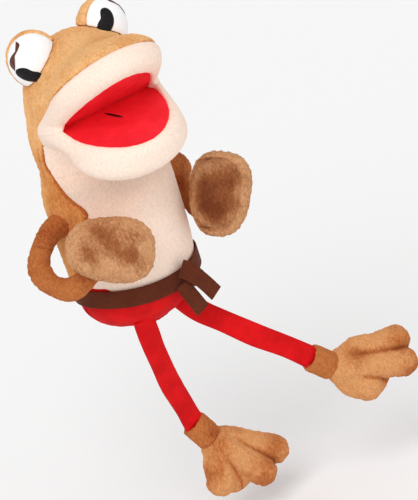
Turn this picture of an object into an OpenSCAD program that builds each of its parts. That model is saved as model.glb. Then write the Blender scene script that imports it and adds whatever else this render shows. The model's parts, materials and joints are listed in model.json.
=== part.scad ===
// Long-legged frog hand puppet, soft plush over a sewn hand sleeve.
// Millimetres, +Z up towards the head, -Y towards the face, origin at the centre of the hand opening.

/* [Torso] */
// Half width of the chest
chest_half_w = 74; // [70:1:78]
// Half depth of the chest, front to back
chest_half_d = 55; // [53:1:57]
// Half width of the body where the belt sits
waist_half_w = 67.5; // [64:0.5:70]
// Half depth of the body where the belt sits
waist_half_d = 54; // [52:0.5:55]
// Height of the padded body cloth above the middle of the belt
torso_h = 150; // [148:1:152]
// Thickness of the padded plush cloth
cloth_t = 4; // [3:0.5:4.5]
// Thickness of the sleeve lining and of the pockets
lining_t = 1.6; // [1.2:0.2:2]
// Gap kept between neighbouring pieces
gap = 0.4; // [0.3:0.1:0.6]

/* [Hand opening] */
// Inside radius of the hem that the hand passes through
opening_r = 36; // [34:1:36]
// Wall of the rolled hem
hem_wall = 4; // [3:0.5:4]
// Length of the hem along its axis
hem_length = 14; // [10:1:14]
// Lean of the opening towards the back, in degrees
opening_lean = 25; // [22:1:28]

/* [Belt] */
// Width of the belt webbing
belt_w = 20; // [18:1:22]
// Thickness of the belt webbing
belt_t = 2; // [1.5:0.5:2.5]
// Free length of each belt tail
tail_length = 38; // [30:1:40]

/* [Mouth] */
// Half width of the mouth at its corners
mouth_half_w = 62; // [58:1:62]
// Depth of the mouth from the fold to the lip
mouth_depth = 86; // [80:1:86]
// Angle of the palate above the horizontal, in degrees
palate_angle = 38; // [36:1:40]
// Angle of the lower jaw below the horizontal, in degrees
jaw_angle = 11; // [9:1:12]
// Thickness of the board behind each mouth lining
board_t = 2.4; // [2:0.2:3]
// Radius of the stuffed upper lip
lip_r = 14; // [12:1:14]
// Height of the stuffed chin below the mouth
chin_h = 48; // [44:1:48]

/* [Limbs] */
// Radius of the stuffed arms
arm_r = 13; // [12:0.5:13]
// Length, width and thickness of a mitten hand
hand_size = [98, 70, 36]; // [30:1:110]
// Width of a flat leg
leg_w = 25; // [22:1:27]
// Thickness of a flat leg
leg_t = 12; // [10:1:13]
// Length, width and thickness of a webbed foot
foot_size = [88, 84, 28]; // [24:1:100]

/* [Hidden] */

// The belt's own centre, from which every height of the body is measured
belt_centre = [0, -16, 23];

// Colours
tan_plush = "#ecb478";
cream_plush = "#fbe6cf";
brown_webbing = "#5d2f1c";
red_cloth = "#de2530";
white_plush = "white";
thread_black = "#141214";
cotton = "#e8ddc8";
fibre = "#f4f2ee";

// Sides: 0 is the puppet's own right (-X), 1 its left (+X)
right = 0;
left = 1;

// Places of the arms, from the belt centre
shoulder = [[-83, -10, 110], [87, 6, 110]];
elbow = [[-115, -22, 75], [93, 38, 74]];
wrist = [[-96, -58, 66], [87, -28, 56]];
hand_centre = [[-57, -90, 93], [97, -62, 80]];
hand_along = [[0.87, -0.29, -0.40], [0.51, 0, 0.86]];
hand_face = [[-0.30, -0.85, 0.45], [-0.35, -0.90, 0.25]];

// Places of the legs, from the belt centre
hip = [[-21, -30, -52], [42, -27, -45]];
ankle = [[16, 15, -188], [142, -64, -145]];
heel = [[29, 13, -213], [162, -64, -166]];
foot_centre = [[55, 10, -253], [208, -64, -184]];
foot_along = [[0.53, 0, -0.848], [0.942, 0, -0.336]];
foot_face = [[0, -1, 0.15], [0, -1, 0.15]];
leg_round = leg_t / 2;
cuff_top_r = 10;

// Eyes
eye_centre = [[-53, -16, 308], [53, -16, 308]];
eye_radii = [28, 21, 31];
pupil_place = [[-2, -9], [4, 12]];

// Where the two halves of the body cloth meet, in degrees in front of the widest point
seam_t = 28;
// Where the head cloth ends beside the mouth
head_seam_t = 25;
// The mouth fold, from the belt centre
fold = [0, -64, 233];

// Shape of the torso: height, half width, half depth
torso_rows = [
    [8, waist_half_w, waist_half_d], [40, 70, 55.5], [75, 73, chest_half_d + 1],
    [110, chest_half_w, chest_half_d], [132, 71, 52], [torso_h, 64, 47]
];
// Shape of the neck
neck_rows = [[torso_h + 3, 60, 44], [163, 59, 38], [175, 59, 36], [188, 60, 36]];
// Shape of the head: height, half width, middle depth, depth of front half, depth of back half
head_rows = [
    [192, 66, 0, 46, 46], [212, 71, -2, 50, 52], [235, 75, -4, 52, 55], [262, 75, -6, 76, 54],
    [290, 69, -12, 92, 50], [308, 60, -20, 88, 42], [322, 47, -30, 72, 34], [332, 31, -42, 48, 24],
    [338, 13, -54, 20, 10]
];
head_top_first = 4;

// ---- Vector helpers ----
function unit(v) = v / norm(v);
function across(along, face) = unit(cross(face, along));
function axes(along, face) = let (a = unit(along), b = across(along, face)) [a, b, cross(a, b)];
function local(origin, e, p) = origin + e[0] * p[0] + e[1] * p[1] + e[2] * p[2];
function ring_mean(ring) = [for (k = [0:2]) [for (p = ring) p[k]] * [for (p = ring) 1] / len(ring)];
function back_to_front(list) = [for (i = [len(list) - 1:-1:0]) list[i]];

// ---- Lofts ----
// Side faces between rings of n points; the last ring meets the first one when closed is true
function loft_sides(m, n, closed) =
    [for (i = [0:closed ? m - 1 : m - 2], j = [0:n - 1])
        let (a = i * n, b = (i + 1) % m * n, k = (j + 1) % n)
        each [[a + j, b + j, b + k], [a + j, b + k, a + k]]];

// A solid through rings of points, closed at each end around the middle of its ring
module loft(rings) {
    n = len(rings[0]);
    m = len(rings);
    centres = [ring_mean(rings[0]), ring_mean(rings[m - 1])];
    ends = [for (j = [0:n - 1])
        let (k = (j + 1) % n)
        each [[m * n, j, k], [m * n + 1, (m - 1) * n + k, (m - 1) * n + j]]];
    polyhedron(
        points = concat([for (ring = rings) each ring], centres),
        faces = concat(loft_sides(m, n, false), ends)
    );
}

// A curved sheet with thickness: outer and inner are grids of points with equal rows and columns
module sheet(outer, inner) {
    rings = [for (i = [0:len(outer) - 1]) concat(outer[i], back_to_front(inner[i]))];
    n = len(rings[0]);
    m = len(rings);
    last = (m - 1) * n;
    ends = [for (j = [0:n / 2 - 2])
        let (p = n - 1 - j)
        each [
            [j, j + 1, p - 1], [j, p - 1, p],
            [last + j, last + p - 1, last + j + 1], [last + j, last + p, last + p - 1]
        ]];
    polyhedron(
        points = [for (ring = rings) each ring],
        faces = concat(loft_sides(m, n, false), ends)
    );
}

// An open tube with thickness
module tube(outer, inner) {
    rings = concat(outer, back_to_front(inner));
    polyhedron(
        points = [for (ring = rings) each ring],
        faces = loft_sides(len(rings), len(rings[0]), true)
    );
}

// ---- Rings ----
function body_point(row, inset, t) =
    [(row[1] - inset) * cos(t), (row[2] - inset) * sin(t), row[0]];
function body_arc(row, inset, t0, t1, steps) =
    [for (i = [0:steps]) body_point(row, inset, t0 + (t1 - t0) * i / steps)];
function body_ring(row, inset, steps) =
    [for (i = [0:steps - 1]) body_point(row, inset, 360 * i / steps)];
function head_point(row, inset, t) =
    [(row[1] - inset) * cos(t), row[2] + ((sin(t) < 0 ? row[3] : row[4]) - inset) * sin(t), row[0]];
function head_arc(row, inset, t0, t1, steps) =
    [for (i = [0:steps]) head_point(row, inset, t0 + (t1 - t0) * i / steps)];

// Outline of a pad in its own plane, from its half length, half width and squareness
function egg(half_l, half_w, steps) =
    [for (i = [0:steps - 1])
        let (t = 360 * i / steps)
        [half_l * cos(t), half_w * sin(t) * (1 + 0.10 * cos(t))]];
// Outline of a webbed foot: narrow at the heel, with three toes
toe_spread = 38;
function webbed(half_l, half_w, steps) =
    [for (i = [0:steps - 1])
        let (
            t = 360 * i / steps,
            front = max(0, cos(t)),
            toes = 1 + 0.10 * sqrt(front) * cos(360 * (t > 180 ? t - 360 : t) / toe_spread)
        )
        [half_l * cos(t) * toes, half_w * sin(t) * (0.82 + 0.30 * cos(t)) * toes]];

// Rings of half a pad: from its rim at level 0 up to height h, shrinking to nearly a point
function half_pad(origin, e, outline, shrink, h, level, rows) =
    [for (k = [0:rows])
        let (a = 84 * k / rows, s = pow(cos(a), 0.7) * shrink)
        [for (p = outline) local(origin, e, [p[0] * s, p[1] * s, level + h * sin(a)])]];

// A stuffed pad: both faces in one solid
module pad(origin, e, outline, shrink, h_face, h_back) {
    rows = 5;
    face = half_pad(origin, e, outline, shrink, h_face, 0, rows);
    back = half_pad(origin, e, outline, shrink, -h_back, 0, rows);
    loft(concat(back_to_front([for (k = [1:rows]) back[k]]), face));
}

// One cloth half of a stuffed pad, as a cup of the given wall; h is negative for the back half
module pad_cup(origin, e, outline, wall, h) {
    rows = 5;
    way = sign(h);
    shrink = 1 - wall / norm(outline[len(outline) / 4]);
    outer = half_pad(origin, e, outline, 1, h, way * gap / 2, rows);
    inner = half_pad(origin, e, outline, shrink, h - way * wall, way * gap / 2, rows);
    loft(way > 0
        ? concat(back_to_front(inner), outer)
        : concat(back_to_front(outer), inner));
}

// A stuffed limb from a to b: round at a about the joint there, cut flat short of b
module limb(a, b, ra, rb, e, flatness) {
    steps = 16;
    length_ab = norm(b - a);
    dome = [for (k = [3:-1:1]) [-ra * sin(24 * k) * flatness, cos(24 * k)]];
    body = [for (k = [0:5]) [length_ab * k / 5, 1 + (rb / ra - 1) * k / 5]];
    loft([for (row = concat(dome, body))
        [for (i = [0:steps - 1])
            let (t = -360 * i / steps)
            local(a, e, [row[0], ra * row[1] * cos(t), ra * row[1] * sin(t)])]]);
}

// A flat cloth leg from a to b: its rounded top turns about the hinge there
module flat_limb(a, b, e) {
    length_ab = norm(b - a);
    rise = [for (k = [0:6]) let (t = -90 + 15 * k) [leg_round * sin(t), leg_round * cos(t)]];
    side = [for (row = rise) if (row[1] > 0.1) row];
    rows = concat([[-leg_round * 0.98, 1]], side, [[length_ab, leg_round]]);
    loft([for (row = rows)
        [for (c = [[-1, 1], [-1, -1], [1, -1], [1, 1]])
            local(a, e, [row[0], c[0] * leg_w / 2, c[1] * row[1]])]]);
}

// ---- Torso and trousers ----
module body_front_panel() {
    color(cream_plush) translate(belt_centre) sheet(
        [for (row = torso_rows) body_arc(row, 0, 180 + seam_t, 360 - seam_t, 12)],
        [for (row = torso_rows) body_arc(row, cloth_t, 180 + seam_t, 360 - seam_t, 12)]
    );
}

// A part of a turn that keeps two cloths apart where they are sewn together
seam_clear_t = 0.5;
module body_back_half(t0, t1) {
    color(tan_plush) translate(belt_centre) sheet(
        [for (row = torso_rows) body_arc(row, 0, t0, t1, 10)],
        [for (row = torso_rows) body_arc(row, cloth_t, t0, t1, 10)]
    );
}
module body_back_right() {
    body_back_half(90 + seam_clear_t / 2, 180 + seam_t - seam_clear_t);
}
module body_back_left() {
    body_back_half(seam_clear_t - seam_t, 90 - seam_clear_t / 2);
}

module sleeve_lining() {
    color(cotton) translate(belt_centre) tube(
        [for (row = torso_rows) body_ring(row, cloth_t + 2 * gap, 24)],
        [for (row = torso_rows) body_ring(row, cloth_t + 2 * gap + lining_t, 24)]
    );
}

// The trousers run from the belt down and round to the hem, along a cubic curve at each angle
seat_top = 7;
seat_rows = 6;
opening_offset = -belt_centre;
hem_outer_r = opening_r + hem_wall;
function hem_point(r, t) =
    opening_offset
    + [r * cos(t), r * sin(t) * cos(opening_lean), r * sin(t) * sin(opening_lean)];
function hem_radial(t) = [cos(t), sin(t) * cos(opening_lean), sin(t) * sin(opening_lean)];
function bezier(p, s) =
    pow(1 - s, 3) * p[0] + 3 * s * pow(1 - s, 2) * p[1] + 3 * s * s * (1 - s) * p[2] + pow(s, 3) * p[3];
function seat_curve(inset, t) =
    let (
        top = body_point([seat_top, waist_half_w, waist_half_d], inset, t),
        bottom = hem_point(hem_outer_r + gap + cloth_t - inset, t),
        drop = top[2] - bottom[2],
        bulge = 0.28 * norm(top - bottom)
    )
    [top, top - [0, 0, 0.62 * drop], bottom + bulge * hem_radial(t), bottom];
function seat_row(s, inset, t0, t1, steps) =
    [for (i = [0:steps]) bezier(seat_curve(inset, t0 + (t1 - t0) * i / steps), s)];

module trousers_half(t0, t1) {
    rows = [for (k = [seat_rows:-1:0]) k / seat_rows];
    color(red_cloth) translate(belt_centre) sheet(
        [for (s = rows) seat_row(s, 0, t0, t1, 14)],
        [for (s = rows) seat_row(s, cloth_t, t0, t1, 14)]
    );
}

module trousers_front() {
    trousers_half(180.5, 359.5);
}

module trousers_back() {
    trousers_half(0.5, 179.5);
}

module hand_opening_hem() {
    color(red_cloth) rotate([opening_lean, 0, 0]) difference() {
        cylinder(r = hem_outer_r, h = hem_length, $fn = 72);
        translate([0, 0, -1]) cylinder(r = opening_r, h = hem_length + 2, $fn = 72);
    }
}

// ---- Belt ----
belt_mid = 8;
belt_ease = 3.4;
function belt_row(z) = [z, waist_half_w + belt_ease + belt_t, waist_half_d + belt_ease + belt_t];
module belt_band() {
    rows = [belt_mid - belt_w / 2, belt_mid, belt_mid + belt_w / 2];
    color(brown_webbing) translate(belt_centre) tube(
        [for (z = rows) body_ring(belt_row(z), 0, 36)],
        [for (z = rows) body_ring(belt_row(z), belt_t, 36)]
    );
}

// The crossed ends of the belt lie on the band at the front, left of the middle
cross_t = 303;
cross_span = 13;
module belt_crossover() {
    rows = [belt_mid - belt_w / 2, belt_mid + belt_w / 2];
    t0 = cross_t - cross_span;
    t1 = cross_t + cross_span;
    color(brown_webbing) translate(belt_centre) sheet(
        [for (z = rows) body_arc(belt_row(z), -gap - belt_t, t0, t1, 5)],
        [for (z = rows) body_arc(belt_row(z), -gap, t0, t1, 5)]
    );
}

// Each tail hangs from the crossover, just in front of the trousers
tail_top = [[27, -63, -3], [47.5, -59, -3]];
tail_along = [[0.42, -0.22, -0.88], [0.55, -0.16, -0.82]];
tail_face = [[0.45, -0.85, 0], [0.62, -0.75, 0]];
tail_w = belt_w - 3;
module belt_tail(i) {
    e = axes(tail_along[i], tail_face[i]);
    color(brown_webbing) translate(belt_centre) loft([for (row = [-1, 0.02, 0.5, 1])
        [for (c = [[-1, 1], [-1, -1], [1, -1], [1, 1]])
            local(
                tail_top[i], e,
                [row < 0 ? -belt_t / 2 : row * tail_length,
                    c[0] * tail_w / 2, c[1] * belt_t / (row < 0 ? 4 : 2)]
            )]]);
}
module belt_tail_upper() {
    belt_tail(1);
}
module belt_tail_lower() {
    belt_tail(0);
}

// ---- Neck ----
module neck_panel(t0, t1) {
    translate(belt_centre) sheet(
        [for (row = neck_rows) body_arc(row, 0, t0, t1, 12)],
        [for (row = neck_rows) body_arc(row, cloth_t, t0, t1, 12)]
    );
}
module neck_front_panel() {
    color(cream_plush) neck_panel(180 + seam_t, 360 - seam_t);
}
module neck_back_panel() {
    color(tan_plush) neck_panel(0.5 - seam_t, 179.5 + seam_t);
}

// ---- Head ----
module head_side(t0, t1) {
    color(tan_plush) translate(belt_centre) sheet(
        [for (row = head_rows) head_arc(row, 0, t0, t1, 9)],
        [for (row = head_rows) head_arc(row, cloth_t, t0, t1, 9)]
    );
}
module head_side_right() {
    head_side(90 + seam_clear_t, 180 + head_seam_t);
}
module head_side_left() {
    head_side(-head_seam_t, 90 - seam_clear_t);
}

module head_top_panel() {
    t0 = 180 + head_seam_t + 2 * seam_clear_t;
    t1 = 360 - head_seam_t - 2 * seam_clear_t;
    rows = [for (i = [head_top_first:len(head_rows) - 1]) head_rows[i]];
    color(tan_plush) translate(belt_centre) sheet(
        [for (row = rows) head_arc(row, 0, t0, t1, 12)],
        [for (row = rows) head_arc(row, cloth_t, t0, t1, 12)]
    );
}

// Places along the palate and the jaw: forward is -Y from the fold
module palate_frame() {
    translate(belt_centre + fold) rotate([-palate_angle, 0, 0]) children();
}
module jaw_frame() {
    translate(belt_centre + fold) rotate([jaw_angle, 0, 0]) children();
}

fold_clear = 3;
mouth_cloth_t = 1.8;
// Each lining starts this far from the mouth's own plane, and its board lies behind it
lining_clear = 0.3;
board_level = lining_clear + mouth_cloth_t + 0.2;
module mouth_plate(half_w, depth, t) {
    linear_extrude(t) intersection() {
        scale([1, depth / half_w]) circle(r = half_w, $fn = 64);
        translate([-half_w, -depth - 1]) square([2 * half_w, depth + 1 - fold_clear]);
    }
}

module upper_lip() {
    steps = 18;
    ring_steps = 12;
    run_w = mouth_half_w + 5;
    run_d = mouth_depth + 3;
    first_t = 10;
    color(cream_plush) palate_frame() loft([for (i = [0:steps])
        let (
            t = first_t + (180 - 2 * first_t) * i / steps,
            end_r = lip_r * (0.72 + 0.28 * pow(sin(t), 0.5))
        )
        [for (j = [0:ring_steps - 1])
            let (a = 360 * j / ring_steps, reach = end_r * cos(a))
            [(run_w + reach) * cos(t), -(run_d + reach) * sin(t), lip_r + 1 + end_r * sin(a)]]]);
}

module upper_mouth_lining() {
    color(red_cloth) palate_frame() translate([0, 0, lining_clear])
        mouth_plate(mouth_half_w - 10, mouth_depth - 12, mouth_cloth_t);
}

module upper_mouth_board() {
    color(fibre) palate_frame() translate([0, 0, board_level])
        mouth_plate(mouth_half_w - 11, mouth_depth - 13, board_t);
}

pocket_half_w = 34;
pocket_h = 24;
pocket_depth = 51;
module cloth_pocket(half_w, depth, h) {
    difference() {
        translate([-half_w, -depth, 0]) cube([2 * half_w, depth, h]);
        translate([lining_t - half_w, lining_t - depth, lining_t])
            cube([2 * (half_w - lining_t), depth, h - 2 * lining_t]);
    }
}
module finger_pocket() {
    color(cotton) palate_frame() translate([0, -fold_clear, board_level + board_t + gap])
        cloth_pocket(pocket_half_w, pocket_depth, pocket_h);
}

module head_stuffing() {
    e = [[0, -1, 0], [1, 0, 0], [0, 0, 1]];
    color(fibre) translate(belt_centre) pad([0, -58, 314], e, egg(40, 34, 20), 1, 14, 2);
}

module eye_ball(side, half) {
    rows = 6;
    first = half == "front" ? -84 : 4;
    last = half == "front" ? 0 : 84;
    c = eye_centre[side];
    translate(belt_centre) loft([for (k = [0:rows])
        let (a = first + (last - first) * k / rows)
        [for (i = [0:17])
            let (t = -20 * i, r = cos(a))
            c + [eye_radii[0] * r * cos(t), eye_radii[1] * sin(a), eye_radii[2] * r * sin(t)]]]);
}
module head_core(grow) {
    translate(belt_centre) loft([for (row = head_rows)
        [for (i = [0:35]) head_point(row, -grow, 10 * i)]]);
}
module eye_socket(side) {
    color(tan_plush) difference() {
        eye_ball(side, "back");
        head_core(gap);
    }
}
module eye_white(side) {
    color(white_plush) difference() {
        eye_ball(side, "front");
        head_core(gap);
    }
}
// Outward direction of the white at a place across and up the eye
function eye_slope(place, depth) =
    unit([place[0] / pow(eye_radii[0], 2), -depth / pow(eye_radii[1], 2), place[1] / pow(eye_radii[2], 2)]);
// A patch of thread just in front of the white, at its place across and up the eye
thread_t = 1.6;
thread_stand_off = 3.4;
module eye_thread(side, place, across_eye, outline) {
    depth = eye_radii[1] * sqrt(1 - pow(place[0] / eye_radii[0], 2) - pow(place[1] / eye_radii[2], 2));
    outward = eye_slope(place, depth);
    at = eye_centre[side] + [place[0], -depth, place[1]] + thread_stand_off * outward;
    color(thread_black) difference() {
        translate(belt_centre) pad(at, axes(across_eye, outward), outline, 1, thread_t / 2, thread_t / 2);
        head_core(gap);
    }
}
module pupil(side) {
    eye_thread(side, pupil_place[side], [1, 0, 0], egg(11, 7, 16));
}
brow_place = [2, 22];
module brow_stitch(side) {
    outside = side == right ? -1 : 1;
    eye_thread(side, [outside * brow_place[0], brow_place[1]], [outside, 0, 0.25], egg(10, 1.6, 12));
}
module eye_socket_right() {
    eye_socket(right);
}
module eye_socket_left() {
    eye_socket(left);
}
module eye_white_right() {
    eye_white(right);
}
module eye_white_left() {
    eye_white(left);
}
module pupil_right() {
    pupil(right);
}
module pupil_left() {
    pupil(left);
}
module brow_stitch_right() {
    brow_stitch(right);
}
module brow_stitch_left() {
    brow_stitch(left);
}

// ---- Jaw ----
chin_front = mouth_depth + 12;
chin_back = 3;
chin_half_w = mouth_half_w + 10;
function chin_outline(inset) =
    [for (i = [0:27])
        let (t = 360 * i / 28)
        [
            (chin_half_w - inset) * cos(t),
            (sin(t) > 0 ? chin_back - inset / 2 : chin_front - inset) * sin(t)
        ]];
// The chin narrows downwards towards a point this far forward of the fold
chin_middle = 38;
chin_top_clear = 1;
function chin_rings(inset) =
    [for (k = [0:6])
        let (a = 84 * k / 6, s = pow(cos(a), 0.6), drop = (chin_h - chin_top_clear - inset) * sin(a))
        [for (p = chin_outline(inset)) [p[0] * s, p[1] * s - chin_middle * (1 - s), -chin_top_clear - drop]]];
module chin_panel() {
    outer = chin_rings(0);
    inner = chin_rings(cloth_t);
    color(cream_plush) jaw_frame() loft(concat(back_to_front(outer), inner));
}

thumb_half_w = 20;
thumb_h = 24;
thumb_depth = 60;
module chin_stuffing() {
    e = [[0, -1, 0], [1, 0, 0], [0, 0, 1]];
    color(fibre) jaw_frame() pad([0, -46, -32], e, egg(28, 40, 20), 1, 2, 7);
}
module lower_mouth_lining() {
    color(red_cloth) jaw_frame() translate([0, 0, -lining_clear - mouth_cloth_t])
        mouth_plate(mouth_half_w, mouth_depth, mouth_cloth_t);
}
module lower_mouth_board() {
    color(fibre) jaw_frame() translate([0, 0, -board_level - board_t])
        mouth_plate(mouth_half_w - 3, mouth_depth - 3, board_t);
}
module thumb_pocket() {
    color(cotton) jaw_frame() translate([0, -fold_clear - 3, -board_level - board_t - gap - thumb_h])
        cloth_pocket(thumb_half_w, thumb_depth, thumb_h);
}
module mouth_stitch() {
    e = [[0.35, -0.94, 0], [0.94, 0.35, 0], [0, 0, 1]];
    color(thread_black) jaw_frame() pad([0, -20, 0.15], e, egg(11, 1.2, 12), 1, 0.4, 0.4);
}

// ---- Arms ----
upper_arm_end_gap = 22.5;
module upper_arm(side) {
    way = unit(elbow[side] - shoulder[side]);
    e = axes(way, [0, 0, 1]);
    color(tan_plush) translate(belt_centre)
        limb(shoulder[side], elbow[side] - upper_arm_end_gap * way, 7, arm_r, e, 1);
}
module forearm(side) {
    way = unit(wrist[side] - elbow[side]);
    e = axes(way, [0, 0, 1]);
    color(tan_plush) translate(belt_centre)
        limb(elbow[side], wrist[side] - 3 * way, arm_r, arm_r, e, 1);
}
module hand_cloth(side, way) {
    e = axes(hand_along[side], hand_face[side]);
    color(tan_plush) translate(belt_centre)
        pad_cup(hand_centre[side], e, egg(hand_size[0] / 2, hand_size[1] / 2, 24), cloth_t - 1,
            way * hand_size[2] / 2);
}
module hand_stuffing(side) {
    e = axes(hand_along[side], hand_face[side]);
    inner = 1 - cloth_t / hand_size[1] * 2;
    color(fibre) translate(belt_centre)
        pad(hand_centre[side], e, egg(hand_size[0] / 2, hand_size[1] / 2, 20), inner - 0.02,
            hand_size[2] / 2 - cloth_t, hand_size[2] / 2 - cloth_t);
}
module upper_arm_right() {
    upper_arm(right);
}
module upper_arm_left() {
    upper_arm(left);
}
module forearm_right() {
    forearm(right);
}
module forearm_left() {
    forearm(left);
}
module hand_palm_right() {
    hand_cloth(right, 1);
}
module hand_palm_left() {
    hand_cloth(left, 1);
}
module hand_back_right() {
    hand_cloth(right, -1);
}
module hand_back_left() {
    hand_cloth(left, -1);
}
module hand_stuffing_right() {
    hand_stuffing(right);
}
module hand_stuffing_left() {
    hand_stuffing(left);
}

// ---- Legs ----
function knee(side) = (hip[side] + ankle[side]) / 2;
function leg_axes(side) =
    let (way = unit(ankle[side] - hip[side]), wide = unit(cross(way, [0, -1, 0])))
    [way, wide, cross(way, wide)];
module thigh(side) {
    e = leg_axes(side);
    color(red_cloth) translate(belt_centre)
        flat_limb(hip[side], knee(side) - (leg_round + gap) * e[0], e);
}
module shank(side) {
    e = leg_axes(side);
    color(red_cloth) translate(belt_centre)
        flat_limb(knee(side), ankle[side] - (cuff_top_r + gap) * e[0], e);
}
module ankle_cuff(side) {
    way = unit(heel[side] - ankle[side]);
    e = axes(way, foot_face[side]);
    color(tan_plush) translate(belt_centre)
        limb(ankle[side], heel[side] - 5 * way, cuff_top_r, 12, e, 1);
}
module foot_cloth(side, way) {
    e = axes(foot_along[side], foot_face[side]);
    color(tan_plush) translate(belt_centre)
        pad_cup(foot_centre[side], e, webbed(foot_size[0] / 2, foot_size[1] / 2, 36), cloth_t - 1,
            way * foot_size[2] / 2);
}
module foot_stuffing(side) {
    e = axes(foot_along[side], foot_face[side]);
    inner = 1 - cloth_t / foot_size[1] * 2.4;
    color(fibre) translate(belt_centre)
        pad(foot_centre[side], e, webbed(foot_size[0] / 2, foot_size[1] / 2, 30), inner - 0.03,
            foot_size[2] / 2 - cloth_t, foot_size[2] / 2 - cloth_t);
}
module thigh_right() {
    thigh(right);
}
module thigh_left() {
    thigh(left);
}
module shank_right() {
    shank(right);
}
module shank_left() {
    shank(left);
}
module ankle_cuff_right() {
    ankle_cuff(right);
}
module ankle_cuff_left() {
    ankle_cuff(left);
}
module foot_upper_right() {
    foot_cloth(right, 1);
}
module foot_upper_left() {
    foot_cloth(left, 1);
}
module foot_sole_right() {
    foot_cloth(right, -1);
}
module foot_sole_left() {
    foot_cloth(left, -1);
}
module foot_stuffing_right() {
    foot_stuffing(right);
}
module foot_stuffing_left() {
    foot_stuffing(left);
}

body_front_panel();
body_back_right();
body_back_left();
sleeve_lining();
trousers_front();
trousers_back();
hand_opening_hem();
belt_band();
belt_crossover();
belt_tail_upper();
belt_tail_lower();
neck_front_panel();
neck_back_panel();
head_side_right();
head_side_left();
head_top_panel();
upper_lip();
upper_mouth_lining();
upper_mouth_board();
finger_pocket();
head_stuffing();
eye_socket_right();
eye_socket_left();
eye_white_right();
eye_white_left();
pupil_right();
pupil_left();
brow_stitch_right();
brow_stitch_left();
chin_panel();
chin_stuffing();
lower_mouth_lining();
lower_mouth_board();
thumb_pocket();
mouth_stitch();
upper_arm_right();
upper_arm_left();
forearm_right();
forearm_left();
hand_palm_right();
hand_palm_left();
hand_back_right();
hand_back_left();
hand_stuffing_right();
hand_stuffing_left();
thigh_right();
thigh_left();
shank_right();
shank_left();
ankle_cuff_right();
ankle_cuff_left();
foot_upper_right();
foot_upper_left();
foot_sole_right();
foot_sole_left();
foot_stuffing_right();
foot_stuffing_left();
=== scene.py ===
"""Looks of the long-legged frog hand puppet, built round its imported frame.

Shapes are worked out in millimetres from the middle of the waist, as smooth fields: a field is below
zero inside the form. A piece of cloth is a form cut along its seams, and it is meshed on a fine grid.
"""

import json
import math

import bpy
import numpy as np
import openvdb
from mathutils import Matrix, Vector

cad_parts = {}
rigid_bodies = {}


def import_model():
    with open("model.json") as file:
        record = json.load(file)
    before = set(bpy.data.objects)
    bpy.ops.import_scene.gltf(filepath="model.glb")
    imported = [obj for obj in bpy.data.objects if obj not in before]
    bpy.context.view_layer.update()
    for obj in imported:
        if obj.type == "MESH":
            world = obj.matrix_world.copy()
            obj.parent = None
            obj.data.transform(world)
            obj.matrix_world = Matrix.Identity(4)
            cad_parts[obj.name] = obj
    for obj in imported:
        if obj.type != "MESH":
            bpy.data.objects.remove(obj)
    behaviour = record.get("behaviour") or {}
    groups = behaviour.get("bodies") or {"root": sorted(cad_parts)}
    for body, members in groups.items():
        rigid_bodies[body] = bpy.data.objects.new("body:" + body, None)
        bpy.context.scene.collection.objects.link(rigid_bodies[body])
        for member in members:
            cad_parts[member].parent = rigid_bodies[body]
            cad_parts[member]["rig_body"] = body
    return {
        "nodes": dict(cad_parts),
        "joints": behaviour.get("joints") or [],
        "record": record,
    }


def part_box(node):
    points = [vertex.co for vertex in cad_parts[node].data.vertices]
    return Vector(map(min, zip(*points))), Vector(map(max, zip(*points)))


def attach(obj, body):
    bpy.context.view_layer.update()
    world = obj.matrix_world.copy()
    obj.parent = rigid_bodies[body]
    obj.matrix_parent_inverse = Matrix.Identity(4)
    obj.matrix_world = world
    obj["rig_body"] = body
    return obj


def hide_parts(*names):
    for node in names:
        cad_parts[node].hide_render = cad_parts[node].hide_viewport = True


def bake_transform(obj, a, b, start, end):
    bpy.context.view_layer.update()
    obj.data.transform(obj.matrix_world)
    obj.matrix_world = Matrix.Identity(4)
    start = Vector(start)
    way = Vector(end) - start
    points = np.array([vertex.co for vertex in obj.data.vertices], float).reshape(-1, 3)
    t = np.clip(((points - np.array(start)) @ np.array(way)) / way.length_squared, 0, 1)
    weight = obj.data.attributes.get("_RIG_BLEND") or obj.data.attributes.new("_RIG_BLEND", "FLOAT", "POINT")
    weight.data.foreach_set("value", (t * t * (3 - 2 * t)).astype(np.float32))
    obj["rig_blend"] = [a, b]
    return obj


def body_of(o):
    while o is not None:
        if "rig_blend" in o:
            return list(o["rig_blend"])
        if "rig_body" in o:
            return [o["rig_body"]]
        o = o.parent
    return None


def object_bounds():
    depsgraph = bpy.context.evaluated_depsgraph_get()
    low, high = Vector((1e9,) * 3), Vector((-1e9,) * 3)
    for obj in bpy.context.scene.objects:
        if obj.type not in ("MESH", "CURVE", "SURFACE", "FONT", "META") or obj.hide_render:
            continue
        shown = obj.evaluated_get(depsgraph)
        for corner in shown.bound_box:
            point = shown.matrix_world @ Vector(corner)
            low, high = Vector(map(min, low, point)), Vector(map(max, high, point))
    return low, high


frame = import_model()
cad_low, cad_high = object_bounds()

MM = 0.001
SIDES = ("right", "left")
WAY = {"right": -1, "left": 1}  # the puppet's right side is at -X
BELT_ABOVE_WAIST = 8


# ---- Places from the frame, in millimetres from the waist ----
def box_mm(node):
    low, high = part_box(node)
    return np.array(low) / MM, np.array(high) / MM


belt_low, belt_high = box_mm("belt_band")
WAIST = (belt_low + belt_high) / 2 - np.array([0, 0, BELT_ABOVE_WAIST])
JOINT = {j["name"]: np.array(j["pos_m"]) / MM - WAIST for j in frame["joints"]}


def middle(node):
    low, high = box_mm(node)
    return (low + high) / 2 - WAIST


def unit(v):
    v = np.array(v, float)
    return v / np.linalg.norm(v)


def axes(along, face):
    """Rows: along, across and face, for a piece that lies flat."""
    a = unit(along)
    b = unit(np.cross(face, a))
    return np.array([a, b, np.cross(a, b)])


# ---- Fields ----
def join(a, b, k):
    """Union of two forms with a fillet of about k."""
    h = np.maximum(k - np.abs(a - b), 0) / k
    return np.minimum(a, b) - h * h * k / 4


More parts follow.
